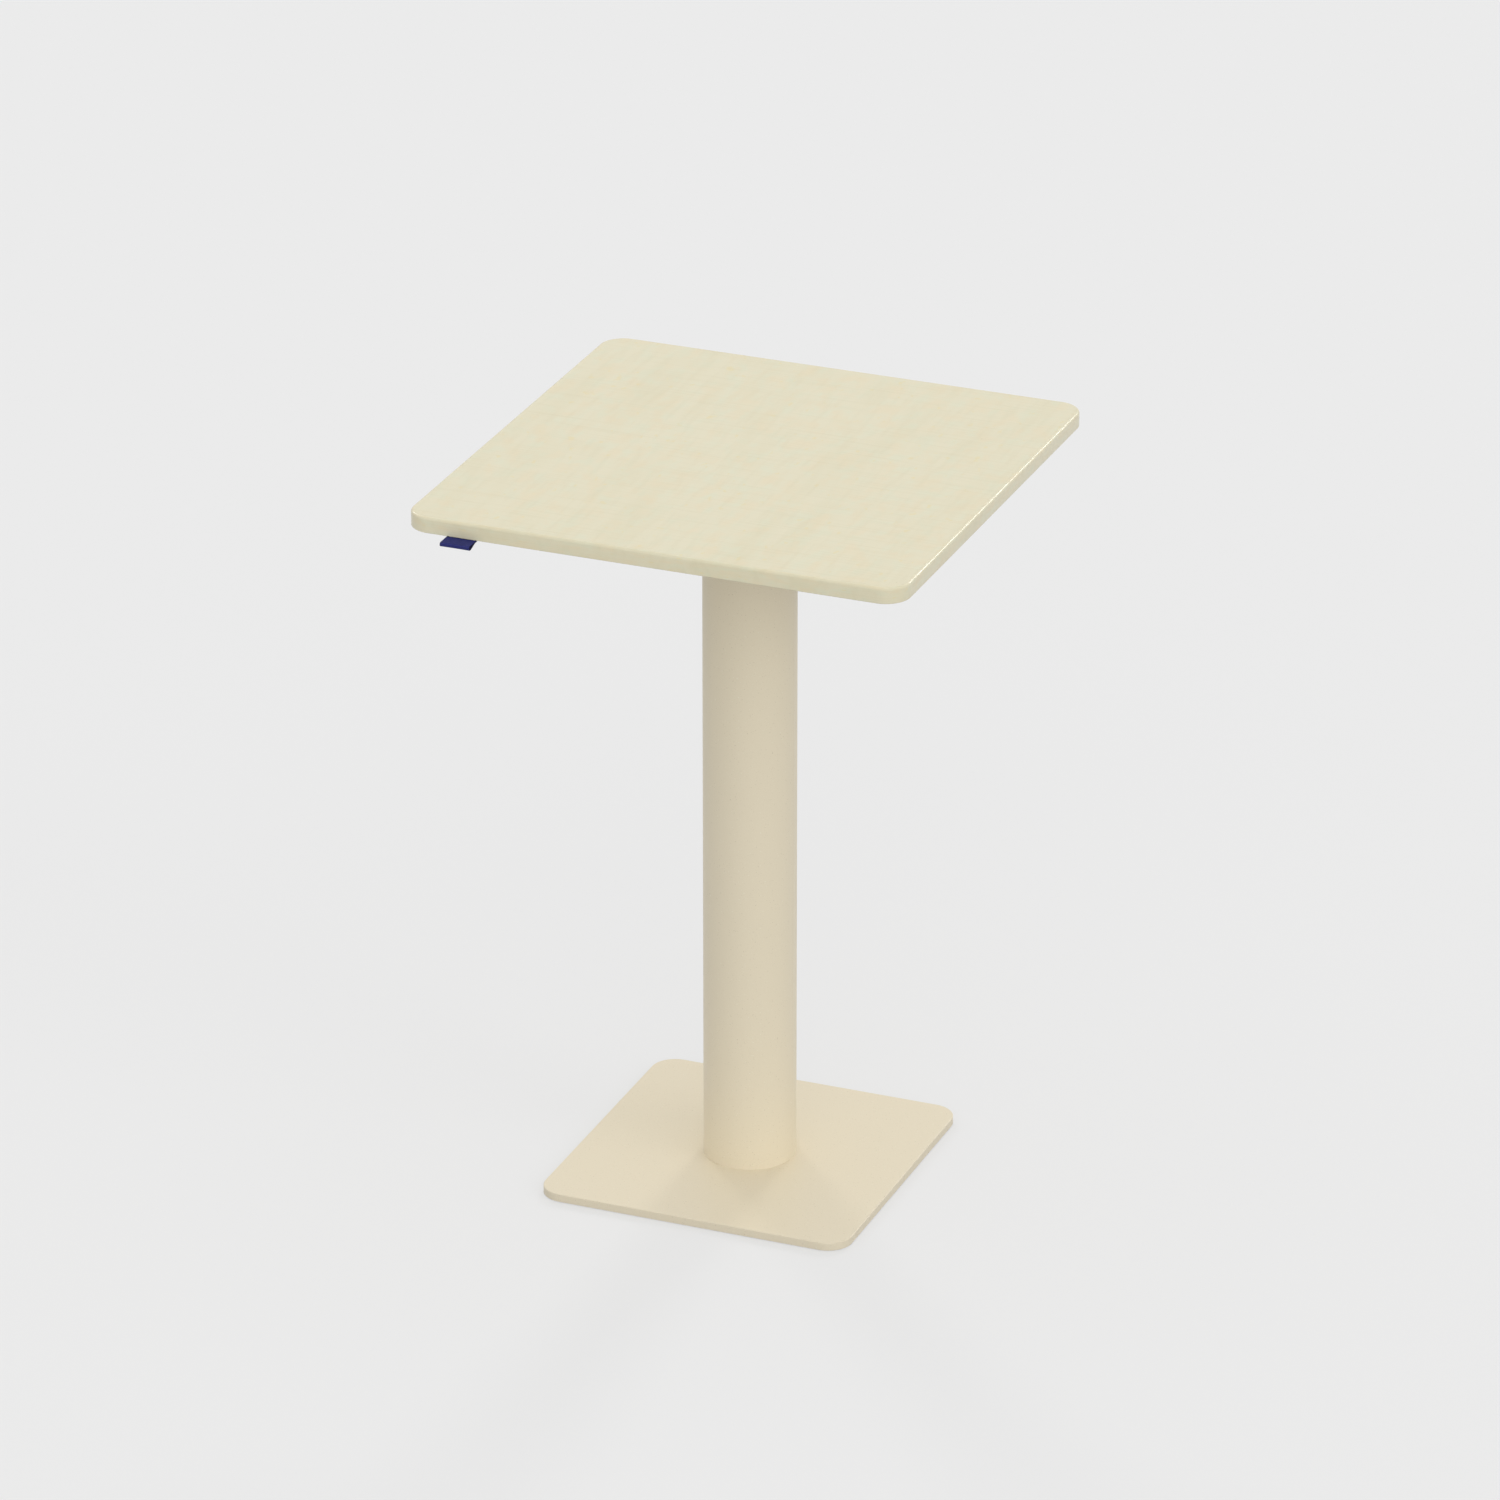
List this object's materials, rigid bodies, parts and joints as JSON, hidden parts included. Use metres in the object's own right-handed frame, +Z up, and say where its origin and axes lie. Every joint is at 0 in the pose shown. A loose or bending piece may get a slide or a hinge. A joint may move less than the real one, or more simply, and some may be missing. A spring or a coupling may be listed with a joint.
{
  "type": "telescoping pedestal table",
  "caption": "Square wooden table top on a round telescoping column with a lockable gas spring and a release lever, standing on a flat square steel foot plate.",
  "frame": {"origin": "on the floor under the column's axis, at the centre of the anti-slip sheet's underside", "axes": "+Z up along the column, -Y towards the front edge with the ribbon tab, +X towards the side with the release lever"},
  "size_m": [0.5, 0.516, 0.743],
  "materials": {
    "board_veneer": "satin lacquered pale veneer",
    "beige_powder_coat": "fine-texture matt powder coat",
    "zinc_plated_steel": "bright zinc plate",
    "black_enamel": "semi-gloss black enamel",
    "ground_rod_steel": "ground and hard-chromed",
    "guide_plastic": "beige acetal, as turned",
    "grip_plastic": "black nylon, fine moulded texture",
    "black_rubber": "matt",
    "piston_aluminium": "turned",
    "insert_brass": "turned",
    "navy_ribbon": "fine woven polyester ribbon"
  },
  "bodies": {
    "stand": {"floor_mat": "black_rubber", "base_plate": "beige_powder_coat", "base_screws": "zinc_plated_steel", "foot_disc": "zinc_plated_steel", "outer_tube": "beige_powder_coat", "upper_guide_bush": "guide_plastic", "bottom_buffer": "black_rubber", "guide_rail": "zinc_plated_steel", "gas_spring_stand": "zinc_plated_steel", "gas_cylinder": "black_enamel", "rod_seal": "black_rubber", "rod_guide": "guide_plastic"},
    "riser": {"piston_rod": "ground_rod_steel", "piston": "piston_aluminium", "piston_ring": "grip_plastic", "piston_nut": "zinc_plated_steel", "rod_nuts": "zinc_plated_steel", "inner_tube": "beige_powder_coat", "lower_guide_bush": "guide_plastic", "head_plate": "zinc_plated_steel", "mounting_plate": "beige_powder_coat", "lever_bracket": "zinc_plated_steel", "pivot_pin": "zinc_plated_steel", "pivot_clip": "zinc_plated_steel", "table_top": "board_veneer", "threaded_inserts": "insert_brass", "plate_screws": "zinc_plated_steel", "label_tab": "navy_ribbon"},
    "lever": {"release_lever": "zinc_plated_steel", "lever_grip": "grip_plastic"},
    "valve_pin": {"release_pin": "ground_rod_steel"}
  },
  "joints": [
    {"name": "column_slide", "type": "slide", "parent": "stand", "child": "riser", "axis": [0, 0, 1], "range_m": [0, 0.4]},
    {"name": "lever_pivot", "type": "hinge", "parent": "riser", "child": "lever", "pos_m": [0.024, 0, 0.704], "axis": [0, -1, 0], "range_deg": [0, 6], "stiffness_Nm_per_rad": 4, "springref_deg": -2.86},
    {"name": "release_pin_slide", "type": "slide", "parent": "riser", "child": "valve_pin", "axis": [0, 0, -1], "range_m": [0, 0.0026]}
  ],
  "couplings": [
    {"joint": "release_pin_slide", "follows": "lever_pivot", "m_per_rad": 0.024}
  ]
}
